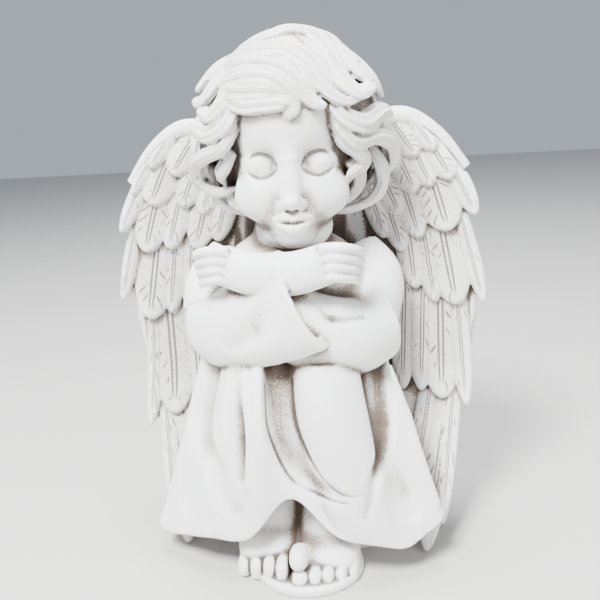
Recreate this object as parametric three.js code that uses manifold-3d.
// Seated sleeping cherub: a garden or grave statue, cast as one body.
// The figure sits with its knees drawn up, its arms crossed over them and its chin on its arms.
// Two wings hang from the back and come forward round the robe, and the bare feet show under the hem.
// Millimetres. The statue faces -Y, +Z is up, +X is at the right of someone facing it.
// The origin is on the flat underside of the seat, under the middle of the figure.

import * as THREE from "three";
import { mergeVertices } from "three/addons/utils/BufferGeometryUtils.js";
import Module from "manifold-3d";

const wasm = await Module();
wasm.setup();

const v3 = (x, y, z) => new THREE.Vector3(x, y, z);

// ---------- Driving dimensions ----------
const SKIRT_TOP = 126; // height of the knees, under the arms
const HEM_HALF_WIDTH = 82;
const KNEE_HALF_WIDTH = 49;
const FRONT = 57; // reach of the hem in front
const BACK = 37; // reach of the robe behind
const HEM_THICKNESS = 4;
const HEM_HEIGHT = 24; // at the sides of the feet
const HEM_ARCH = 30; // how far the hem rises over the feet
const WING_THICKNESS = 8;
const RIM_RADIUS = 6.5; // the rounded leading edge of a wing
const HEAD = v3(5, -8, 240);
const HEAD_TURN = 8; // degrees, towards +X
const HEAD_NOD = 4; // degrees, face down
const CHIN = -51; // height of the chin, from the middle of the head
const CROWN = 50;
const FACE_HALF_WIDTH = 31;
const FACE_DEPTH = 40;
const HAIR = v3(5, -6, 243);
const HAIR_RADII = v3(47, 43, 50);

// ---------- Small helpers ----------
const { lerp, clamp, smoothstep, degToRad } = THREE.MathUtils;
const bell = (x, centre, width) => Math.exp(-(((x - centre) / width) ** 2));
const range = (n) => Array.from({ length: n }, (_, i) => i);
const join = (solids) => solids.reduce((a, b) => a.add(b));

// The value at x of the smooth line through a table of [x, value].
function along(table, x) {
  const last = table.length - 2;
  const k = clamp(table.findIndex(([at]) => at > x) - 1, 0, last);
  const i = x >= table[last + 1][0] ? last : k;
  const slope = (j) => {
    const [x0, v0] = table[Math.max(j - 1, 0)];
    const [x1, v1] = table[Math.min(j + 1, last + 1)];
    return (v1 - v0) / (x1 - x0);
  };
  const step = table[i + 1][0] - table[i][0];
  const t = clamp((x - table[i][0]) / step, 0, 1);
  const u = t * t * (3 - 2 * t);
  const bend = t * (1 - t) * step * ((1 - t) * slope(i) - t * slope(i + 1));
  return lerp(table[i][1], table[i + 1][1], u) + bend;
}

// A closed three.js geometry as a solid.
function solid(geometry) {
  const bare = new THREE.BufferGeometry();
  bare.setAttribute("position", geometry.getAttribute("position"));
  bare.setIndex(geometry.index);
  const merged = mergeVertices(bare, 1e-4);
  const vertProperties = merged.attributes.position.array;
  const triVerts = new Uint32Array(merged.index.array);
  const made = new wasm.Manifold(new wasm.Mesh({ numProp: 3, vertProperties, triVerts }));
  if (made.volume() > 0) return made;
  return new wasm.Manifold(new wasm.Mesh({ numProp: 3, vertProperties, triVerts: triVerts.reverse() }));
}

// A solid skin over rings that all have the same number of points, closed by a fan at each end.
function loft(rings) {
  const n = rings[0].length;
  const points = rings.flat();
  const index = [];
  for (let r = 0; r + 1 < rings.length; r++)
    for (let i = 0; i < n; i++) {
      const a = r * n + i;
      const b = r * n + ((i + 1) % n);
      index.push(a, b, a + n, b, b + n, a + n);
    }
  for (const [r, flip] of [[0, true], [rings.length - 1, false]]) {
    const middle = rings[r].reduce((sum, p) => sum.add(p), v3(0, 0, 0)).divideScalar(n);
    const centre = points.push(middle) - 1;
    for (let i = 0; i < n; i++) {
      const a = r * n + i;
      const b = r * n + ((i + 1) % n);
      index.push(...(flip ? [b, a, centre] : [a, b, centre]));
    }
  }
  const geometry = new THREE.BufferGeometry().setFromPoints(points);
  geometry.setIndex(index);
  return solid(geometry);
}

// An ellipsoid with its radii along X, Y and Z.
function ellipsoid(centre, radii, wide = 12, high = 8) {
  const geometry = new THREE.SphereGeometry(1, wide, high).rotateX(Math.PI / 2).scale(...radii);
  return solid(geometry.translate(centre.x, centre.y, centre.z));
}

// A tube along a smooth route. size(u) gives its half-width and half-thickness at a share u of the
// route, and outward(point) the direction that the thickness is measured in. With hollow, its end is
// open like a cuff, to that share of its length.
function sweep(route, size, outward, { sides = 8, steps = 6, hollow = 0 } = {}) {
  const curve = new THREE.CatmullRomCurve3(route);
  const ring = (u, share = 1) => {
    const at = curve.getPoint(u);
    const ahead = curve.getTangent(u);
    const side = v3(0, 0, 0).crossVectors(ahead, outward(at)).normalize();
    const out = v3(0, 0, 0).crossVectors(side, ahead).normalize();
    const [wide, thick] = size(u);
    return range(sides).map((i) => {
      const turn = (2 * Math.PI * i) / sides;
      const p = at.clone().addScaledVector(side, share * wide * Math.cos(turn));
      return p.addScaledVector(out, share * thick * Math.sin(turn));
    });
  };
  const rings = range(steps + 1).map((k) => ring(k / steps));
  if (hollow) rings.push(ring(1, 0.8), ring(1 - hollow, 0.7));
  return loft(rings);
}

// ---------- Robe ----------
// Folds of the skirt: where each one stands at the hem, in degrees from the front towards +X, how
// wide it is, how far it stands out at the hem and at the knees (below 0 for a valley), and how far
// it leans sideways on its way up. Folds with a bend below 1 do most of their leaning near the hem.
const FOLDS = [
  { at: 24, wide: 9, hem: -3, knee: -14, lean: -25, bend: 0.45 },
  { at: -12, wide: 6, hem: 4, knee: 5, lean: 0, bend: 1 },
  { at: 26, wide: 18, hem: 0, knee: 6, lean: 0, bend: 1 },
  { at: -33, wide: 9, hem: -2, knee: 4, lean: 6, bend: 1 },
  { at: 47, wide: 6, hem: 0, knee: -11, lean: 9, bend: 1 },
  { at: -52, wide: 9, hem: -2, knee: -8, lean: -4, bend: 1 },
  { at: 66, wide: 8, hem: 5, knee: 3, lean: 8, bend: 1 },
  { at: -76, wide: 11, hem: 7, knee: 4, lean: 0, bend: 1 },
  { at: 112, wide: 14, hem: -5, knee: -3, lean: 0, bend: 1 },
  { at: -112, wide: 14, hem: -5, knee: -3, lean: 0, bend: 1 },
  { at: 152, wide: 14, hem: -4, knee: -4, lean: 4, bend: 1 },
  { at: -152, wide: 14, hem: -4, knee: -4, lean: -4, bend: 1 },
];

const SKIRT_TURNS = [...range(27).map((i) => -104 + 8 * i), ...range(9).map((i) => 120 + 15 * i)];

const fromFront = (turn) => ((((turn + 180) % 360) + 360) % 360) - 180;

// Height of the hem: an arch over the feet, a dip at each side, a lift at each corner, and down to
// the ground behind.
function hemHeight(turn) {
  const t = fromFront(turn);
  const behind = smoothstep(Math.abs(t), 84, 125);
  const front = HEM_HEIGHT + HEM_ARCH * bell(t, 1, 13) - 5 * bell(t, 46, 10) + 10 * bell(t, 74, 13) - 8 * bell(t, -66, 20);
  return lerp(front, 0, behind);
}

function skirtPoint(turn, rise, inset = 0) {
  const halfWidth = lerp(HEM_HALF_WIDTH, KNEE_HALF_WIDTH, rise ** 0.9) - inset;
  const middle = lerp(-14, -6, rise);
  const reach = [FRONT + middle + 4 * rise - 15 * rise ** 4 - inset, BACK - middle - inset];
  let out = 0;
  for (const { at, wide, hem, knee, lean, bend } of FOLDS)
    out += lerp(hem, knee, rise) * bell(fromFront(turn - at - lean * rise ** bend), 0, wide);
  const x = Math.sin(degToRad(turn));
  const y = -Math.cos(degToRad(turn));
  const round = (Math.abs(x) ** 2.4 + Math.abs(y) ** 2.4) ** (-1 / 2.4);
  const depth = y < 0 ? reach[0] : reach[1];
  return v3(x * round * (halfWidth + out), middle + y * round * (depth + out), 0);
}

function skirt() {
  const ring = (rise, inset, lift = 0) =>
    SKIRT_TURNS.map((turn) => {
      const p = skirtPoint(turn, rise, inset);
      return p.setZ(lerp(hemHeight(turn), SKIRT_TOP, rise) + lift);
    });
  const outside = [0, 0.08, 0.24, 0.42, 0.6, 0.78, 0.91, 1].map((rise) => ring(rise, 0));
  return loft([ring(0.12, 10), ring(0, HEM_THICKNESS), ...outside, ring(1, 14, 3)]);
}

// A body of oval rings, from levels of [height, half-width, front, back].
function ovals(levels, points) {
  return loft(
    levels.map(([height, halfWidth, front, back]) =>
      range(points).map((i) => {
        const turn = (2 * Math.PI * i) / points;
        const y = (front + back) / 2 + ((back - front) / 2) * Math.sin(turn);
        return v3(halfWidth * Math.cos(turn), y, height);
      }),
    ),
  );
}

const seat = () => ovals([[0, 57, -26, 36], [60, 52, -26, 34]], 14);

const torso = () =>
  ovals([[80, 47, -30, 36], [125, 47, -30, 35], [152, 45, -36, 34], [170, 41, -34, 32], [182, 31, -30, 26], [190, 20, -24, 18], [205, 17, -20, 14]], 14);

// ---------- Arms, sleeves and hands ----------
const ahead = () => v3(0, -1, 0.2);

function sleeves() {
  const upper = (side, elbow) =>
    sweep([v3(side * 35, 8, 173), v3(side * 45, 0, 160), elbow], (u) => [lerp(16, 19, u), lerp(15, 20, u)], ahead, {
      sides: 8,
      steps: 3,
    });
  const rightFore = sweep(
    [v3(45, -12, 138), v3(33, -28, 136), v3(14, -36, 142), v3(-4, -38, 152)],
    (u) => [lerp(22, 20, u), lerp(20, 14, u)],
    ahead,
    { sides: 10, steps: 5 },
  );
  const leftFore = sweep(
    [v3(-42, -13, 145), v3(-33, -30, 142), v3(-10, -42, 150), v3(13, -49, 162)],
    (u) => [lerp(19, 28, u), lerp(19, 11, u)],
    ahead,
    { sides: 10, steps: 6, hollow: 0.12 },
  );
  return join([upper(1, v3(41, -12, 142)), upper(-1, v3(-43, -12, 146)), rightFore, leftFore]);
}

// A hand laid over the other arm: its wrist, its back, and four fingers that bend round the arm.
function hand(side) {
  const parts = [
    sweep([v3(-side * 2, -46, 178), v3(side * 14, -50, 180), v3(side * 29, -45, 181)], (u) => [lerp(11, 10, u), lerp(9, 6.5, u)], ahead, {
      sides: 8,
      steps: 4,
    }),
  ];
  for (const i of range(4)) {
    const z = 188 - 4.8 * i;
    const route = [v3(side * 26, -48, z), v3(side * (36 - i), -50, z + 0.5), v3(side * (43 - 0.5 * i), -41, z - 3)];
    parts.push(sweep(route, (u) => [lerp(3.1, 2.3, u), lerp(3.2, 2.2, u)], ahead, { sides: 5, steps: 3 }));
  }
  return join(parts);
}

// ---------- Feet ----------
// Both feet stand side by side, the left one a little over the right one's big toe. Each has its big
// toe on its own and four smaller toes in steps beside it.
const FEET = [
  { ankle: v3(-15, -16, 50), ball: v3(-17, -44, 11), half: 16.5, bigToe: v3(3, -56, 14.5), toe: v3(-9, -56.5, 7), step: v3(-6.5, 2.2, -0.5) },
  { ankle: v3(18, -16, 46), ball: v3(19, -47, 9), half: 17.5, bigToe: v3(4, -60, 5.5), toe: v3(12.5, -59, 5.2), step: v3(6.7, 2.8, 0) },
];

function foot({ ankle, ball, half, bigToe, toe, step }) {
  const instep = ankle.clone().lerp(ball, 0.5).add(v3(0, -2, 2));
  const size = (u) => [lerp(half - 2, half, u), lerp(14, 9, u)];
  const parts = [
    sweep([ankle, instep, ball], size, () => v3(0, -0.5, 1), { sides: 8, steps: 4 }),
    ellipsoid(bigToe, [5.8, 8, 5.4], 6, 5),
  ];
  for (const i of range(4)) {
    const at = toe.clone().addScaledVector(step, i);
    parts.push(ellipsoid(at, [3.7, 7.5, 5], 6, 4));
  }
  return join(parts);
}

const sole = () =>
  loft(
    [0, 5].map((z) =>
      range(14).map((i) => {
        const turn = (2 * Math.PI * i) / 14;
        return v3(6 + 31 * Math.cos(turn), -38 + 29 * Math.sin(turn), z);
      }),
    ),
  );

// ---------- Head ----------
// Half-width, front and back of the head, each as a share, from the chin (0) to the crown (1).
const HEAD_WIDTH = [[0, 0.3], [0.06, 0.52], [0.16, 0.79], [0.3, 0.96], [0.5, 1.02], [0.7, 1.06], [0.86, 0.86], [0.95, 0.55], [1, 0.2]];
const HEAD_FRONT = [[0, 0.62], [0.06, 0.8], [0.14, 0.9], [0.3, 0.97], [0.45, 0.95], [0.6, 1], [0.75, 0.95], [0.9, 0.7], [1, 0.2]];
const HEAD_LEVELS = [0, 0.05, 0.1, 0.145, 0.18, 0.22, 0.26, 0.31, 0.37, 0.41, 0.45, 0.5, 0.58, 0.7, 0.85, 1];
const HEAD_TURNS = [-140, -92, -68, -54, -43, -34, -26, -19, -12.5, -6, 0, 6, 12.5, 19, 26, 34, 43, 54, 68, 92, 140, 180];

// How far the features stand out of the face, x from its middle and s as a share of the head's height.
function features(x, s) {
  const across = Math.abs(x);
  const ridge = lerp(2, 9, smoothstep(s, 0.46, 0.27)) * smoothstep(s, 0.2, 0.26) * smoothstep(s, 0.52, 0.42);
  const nose = ridge * bell(x, 0, lerp(3.6, 5, smoothstep(s, 0.4, 0.26)));
  const sides = 3 * bell(across, 5, 3) * bell(s, 0.255, 0.03);
  const lids = 4 * bell(across, 15, 7) * bell(s, 0.405, 0.045) - 3.5 * bell(across, 12, 11) * bell(s, 0.42, 0.09);
  const brow = 1.2 * bell(across, 14, 10) * bell(s, 0.52, 0.04);
  const cheeks = 3.2 * bell(across, 19, 11) * bell(s, 0.25, 0.1);
  const lips = 4 * bell(x, 0, 7) * bell(s, 0.172, 0.022) + 3.6 * bell(x, 0, 6) * bell(s, 0.122, 0.022);
  const chin = 4 * bell(x, 0, 9) * bell(s, 0.03, 0.045);
  return nose + sides + lids + brow + cheeks + lips + chin;
}

function head() {
  const rings = HEAD_LEVELS.map((s) =>
    HEAD_TURNS.map((turn) => {
      const x = Math.sin(degToRad(turn)) * FACE_HALF_WIDTH * along(HEAD_WIDTH, s);
      const y = -Math.cos(degToRad(turn)) * FACE_DEPTH * along(HEAD_FRONT, s);
      const out = Math.abs(turn) < 75 ? features(x, s) : 0;
      return v3(x, y - out, lerp(CHIN, CROWN, s));
    }),
  );
  return loft(rings).rotate([HEAD_NOD, 0, HEAD_TURN]).translate([HEAD.x, HEAD.y, HEAD.z]);
}

// ---------- Hair ----------
// A point of the hair: degrees from the front towards +X, degrees above its middle, and how far out
// it lies as a share of the cap's size.
function onHair([turn, rise, out]) {
  const flat = Math.cos(degToRad(rise));
  const ray = v3(Math.sin(degToRad(turn)) * flat, -Math.cos(degToRad(turn)) * flat, Math.sin(degToRad(rise)));
  return ray.multiply(HAIR_RADII).multiplyScalar(out).add(HAIR);
}

const fromHair = (p) => p.clone().sub(HAIR).normalize();

// A lock is a ridge over a flat base. It is widest before its middle and runs out to a point.
function lock({ path, wide, thick }) {
  const curve = new THREE.CatmullRomCurve3(path.map(onHair));
  const steps = path.length;
  const rings = range(steps + 1).map((k) => {
    const swell = Math.sqrt(clamp(1 - ((k / steps - 0.4) / 0.63) ** 2, 0.02, 1));
    const at = curve.getPoint(k / steps);
    const side = v3(0, 0, 0).crossVectors(curve.getTangent(k / steps), fromHair(at)).normalize();
    return [[-1, -1], [0, 1], [1, -1]].map(([across, out]) =>
      at.clone().addScaledVector(side, across * swell * wide).addScaledVector(fromHair(at), out * swell * thick),
    );
  });
  return loft(rings);
}

// The locks that part at the left of the brow, sweep over it, and fall in waves at both sides.
const LOCKS = [
  { wide: 7, thick: 6, path: [[-38, 30, 0.96], [-20, 21, 1.02], [-3, 19, 1.05], [10, 16, 1.06], [6, 9, 1.08]] },
  { wide: 7, thick: 6, path: [[-44, 38, 0.97], [-17, 36, 1.02], [2, 31, 1.05], [13, 20, 1.06]] },
  { wide: 8, thick: 6, path: [[-54, 45, 0.97], [-20, 46, 1.01], [8, 39, 1.04], [20, 26, 1.06], [30, 14, 1.12]] },
  { wide: 9, thick: 6, path: [[-66, 54, 0.97], [-22, 57, 1.01], [16, 52, 1.04], [32, 34, 1.06], [42, 19, 1.12]] },
  { wide: 10, thick: 7, path: [[-70, 62, 0.98], [-40, 78, 1.01], [50, 70, 1.03], [44, 44, 1.05], [52, 22, 1.18]] },
  { wide: 11, thick: 7, path: [[-100, 70, 1], [100, 82, 1.03], [72, 60, 1.06], [66, 42, 1.08], [64, 26, 1.22]] },
  { wide: 9, thick: 6, path: [[-78, 62, 0.98], [-74, 46, 1.03], [-72, 32, 1.06], [-74, 24, 1.14]] },
  { wide: 7, thick: 6, path: [[-42, 36, 0.97], [-41, 24, 1.03], [-48, 15, 1.1], [-58, 15, 1.2]] },
  { wide: 7, thick: 6, path: [[-36, 22, 0.98], [-38, 9, 1.05], [-50, 3, 1.12], [-64, 9, 1.22]] },
  { wide: 5, thick: 7, path: [[-36, 4, 0.98], [-42, -6, 1.08], [-58, -10, 1.18], [-72, -18, 1.22]] },
  { wide: 5, thick: 7, path: [[-76, -8, 1.16], [-78, -22, 1.22], [-64, -30, 1.16], [-44, -33, 1]] },
  { wide: 6, thick: 6, path: [[-78, -26, 1.1], [-72, -40, 1.12], [-52, -48, 1.06]] },
  { wide: 7, thick: 7, path: [[44, 18, 0.98], [45, 8, 1.06], [57, 3, 1.14], [72, 8, 1.24]] },
  { wide: 5, thick: 8, path: [[44, 2, 0.98], [53, -6, 1.08], [70, -4, 1.2], [84, -12, 1.24], [86, -24, 1.2]] },
  { wide: 4, thick: 6, path: [[48, -6, 1], [58, -12, 1.1], [60, -20, 1.1], [54, -30, 1.02]] },
  { wide: 5, thick: 7, path: [[84, -14, 1.14], [88, -28, 1.22], [84, -42, 1.18], [62, -52, 1.06]] },
  { wide: 8, thick: 6, path: [[56, -24, 0.98], [66, -34, 1.04], [62, -48, 1.02]] },
];

// Locks of the back of the head: two rows of waves all round, each lock leaning against its neighbour.
function backLocks() {
  const rows = [
    { top: 74, low: 8, count: 4, wide: 17 },
    { top: 22, low: -50, count: 3, wide: 19 },
  ];
  return rows.flatMap(({ top, low, count, wide }, row) =>
    range(count).map((i) => {
      const turn = 98 + (164 * (i + 0.5 * row)) / (count - 0.5);
      const sway = (i + row) % 2 ? 10 : -10;
      const path = [[turn, top, 0.97], [turn + sway, lerp(top, low, 0.4), 1.02], [turn - sway, lerp(top, low, 0.75), 1.03], [turn, low, 1.08]];
      return { wide, thick: 6, path };
    }),
  );
}

function hair() {
  const cap = ellipsoid(HAIR.clone().add(v3(0, 6, 1)), [HAIR_RADII.x - 3, HAIR_RADII.y - 7, HAIR_RADII.z], 14, 10);
  return join([cap, ...[...LOCKS, ...backLocks()].map(lock)]);
}

// ---------- Wings ----------
// Depth of the wing's front face: it lies back at the top and comes forward at the tip.
function wingDepth(x, z) {
  const spread = Math.max(0, (Math.abs(x) - 20) / 90);
  const low = Math.max(0, (110 - z) / 110);
  return 24 - 10 * spread ** 2 - 38 * low ** 1.5;
}

// Rows of feathers from the top of the wing to its tip, each over the row below it. root is the [x, z]
// where the row meets the back of the robe, and long is how much of a feather shows. Each feather is
// the [x, z] of its tip, its width, and how many degrees its root leans away from the body.
const FEATHERS = {
  right: [
    { root: [16, 200], long: 14, tips: [[60, 219, 14, -34], [71, 226, 13, -34], [81, 229, 11, -34]] },
    { root: [16, 186], long: 18, tips: [[61, 194, 14, -24], [70, 206, 14, -24], [79, 209, 13, -24], [90, 213, 14, -30]] },
    { root: [16, 164], long: 24, tips: [[52, 180, 12, -16], [62, 172, 13, -16], [72, 180, 14, -16], [88, 184, 22, -16], [103, 193, 11, -26]] },
    { root: [20, 132], long: 42, tips: [[69, 150, 16, -6], [80, 142, 13, -8], [92, 141, 22, -10], [107, 143, 9, -14]] },
    { root: [30, 84], long: 58, tips: [[60, 88, 15, 2], [71, 88, 15, 2], [83, 84, 23, 0], [97, 81, 11, -4]] },
    { root: [52, 5], long: 84, tips: [[62, 8, 12, 10], [72, 1, 16, 10], [82, 16, 10, 6]] },
  ],
  left: [
    { root: [16, 200], long: 16, tips: [[58, 216, 16, -34], [71, 222, 15, -34], [83, 227, 9, -34]] },
    { root: [16, 186], long: 20, tips: [[56, 198, 13, -24], [67, 203, 15, -24], [85, 205, 18, -24], [95, 212, 7, -30]] },
    { root: [16, 164], long: 26, tips: [[48, 181, 14, -16], [61, 177, 17, -16], [77, 178, 14, -16], [91, 177, 18, -16], [104, 190, 9, -26]] },
    { root: [20, 132], long: 42, tips: [[68, 140, 14, -6], [80, 138, 13, -8], [93, 135, 22, -10], [108, 148, 8, -14]] },
    { root: [30, 84], long: 62, tips: [[66, 82, 20, 2], [82, 74, 26, 0], [97, 68, 9, -4]] },
    { root: [52, 5], long: 70, tips: [[62, 8, 12, 10], [72, 1, 16, 10], [82, 16, 10, 6]] },
  ],
};

// The rounded leading edge, from the shoulder blade over the top and down to the first notch.
const RIM = [[16, 204], [30, 226], [46, 242], [64, 247], [82, 236], [97, 217]];

const ROW_COLUMNS = 14; // over all the feathers of a row
const TIP_LIFT = 3; // how far a feather's tip stands clear of the row below
const CROWN_HEIGHT = 1.8; // how far a feather's middle stands out of its edges

// The columns of a row: where the row's edge runs, from the robe to the outer edge of the wing.
function rowColumns({ root, tips }) {
  const feathers = tips.map(([x, z, wide, lean]) => ({ x, z, wide, lean }));
  const columns = [{ x: root[0], z: root[1], lean: 0, crown: -TIP_LIFT }];
  let spare = ROW_COLUMNS;
  for (const [i, f] of feathers.entries()) {
    const meet = (g) => (g.x * f.wide + f.x * g.wide) / (f.wide + g.wide);
    const left = i ? meet(feathers[i - 1]) : f.x - f.wide / 2;
    const next = feathers[i + 1];
    const right = next ? meet(next) : f.x + f.wide / 2;
    const count = Math.round(spare / (feathers.length - i));
    spare -= count;
    for (const j of range(next ? count : count + 1)) {
      const v = (2 * j) / count - 1;
      const round = Math.sqrt(Math.max(0, 1 - v * v));
      const x = lerp(left, right, j / count);
      columns.push({ x, z: f.z + 0.5 * f.wide * (1 - round), lean: f.lean, crown: CROWN_HEIGHT * round });
    }
  }
  return columns;
}

// A ring round the wing through one line of columns: their fronts, the outer edge and their backs.
function wingRing(side, columns, share, long, height) {
  const place = ({ x, z, lean }, depth) => {
    const px = x + Math.sin(degToRad(lean)) * long * share;
    const pz = clamp(z + Math.cos(degToRad(lean)) * long * share, 0, along(RIM, px) - 4 * (1 - share));
    return v3(side * px, wingDepth(px, pz) + depth, pz);
  };
  const front = columns.map((c) => place(c, -height - c.crown));
  const edge = place(columns[columns.length - 1], WING_THICKNESS / 2 - 0.3 * height);
  const back = columns.filter((_, i) => i % 2 === 0).reverse();
  return [...front, edge.setX(edge.x + side), ...back.map((c) => place(c, WING_THICKNESS + height * 0.7))];
}

function wing(side, rows) {
  const rim = RIM.map(([x, z]) => v3(side * x, wingDepth(x, z) + WING_THICKNESS / 2, z));
  const curve = new THREE.CatmullRomCurve3(rim);
  const top = range(ROW_COLUMNS + 2).map((i) => {
    const p = curve.getPoint(i / (ROW_COLUMNS + 1));
    return { x: side * p.x, z: p.z, lean: 0, crown: 0 };
  });
  const rings = [wingRing(side, top, 1, 0, 0)];
  for (const row of rows) {
    const columns = rowColumns(row);
    if (row.long > 20) rings.push(wingRing(side, columns, 0.45, row.long, TIP_LIFT * 0.5));
    rings.push(wingRing(side, columns, 0, row.long, TIP_LIFT));
    rings.push(wingRing(side, columns, 0, row.long, -1.5));
  }
  const size = (u) => [lerp(1.3, 0.7, u) * RIM_RADIUS, lerp(1.3, 0.7, u) * RIM_RADIUS];
  return join([loft(rings), sweep(rim, size, () => v3(0, 1, 0), { sides: 6, steps: 6 })]);
}

// ---------- The statue ----------
const cast = join([
  skirt(),
  seat(),
  torso(),
  sleeves(),
  hand(-1),
  hand(1),
  ...FEET.map(foot),
  sole(),
  head(),
  hair(),
  wing(-1, FEATHERS.left),
  wing(1, FEATHERS.right),
]);

// The casting is solid, so only its outer skin is kept, without the pockets that lie sealed between
// feathers or locks.
function outerSkin({ vertProperties, triVerts }) {
  const parent = range(vertProperties.length / 3);
  const rootOf = (i) => {
    let at = i;
    while (parent[at] !== at) at = parent[at] = parent[parent[at]];
    return at;
  };
  for (let t = 0; t < triVerts.length; t += 3) {
    parent[rootOf(triVerts[t])] = rootOf(triVerts[t + 1]);
    parent[rootOf(triVerts[t + 1])] = rootOf(triVerts[t + 2]);
  }
  const heights = parent.map((_, i) => vertProperties[3 * i + 2]);
  const skin = rootOf(heights.indexOf(Math.min(...heights)));
  return Array.from(triVerts).filter((_, k) => rootOf(triVerts[k - (k % 3)]) === skin);
}

const mesh = cast.getMesh();
const geometry = new THREE.BufferGeometry();
geometry.setAttribute("position", new THREE.BufferAttribute(mesh.vertProperties, 3));
geometry.setIndex(outerSkin(mesh));
geometry.computeVertexNormals();

const resin = new THREE.MeshStandardMaterial({ color: 0xe6dfd6, roughness: 0.62, metalness: 0 });
const angel = new THREE.Mesh(geometry, resin);
angel.name = "angel_statue";

const statue = new THREE.Group();
statue.add(angel);

export default statue;
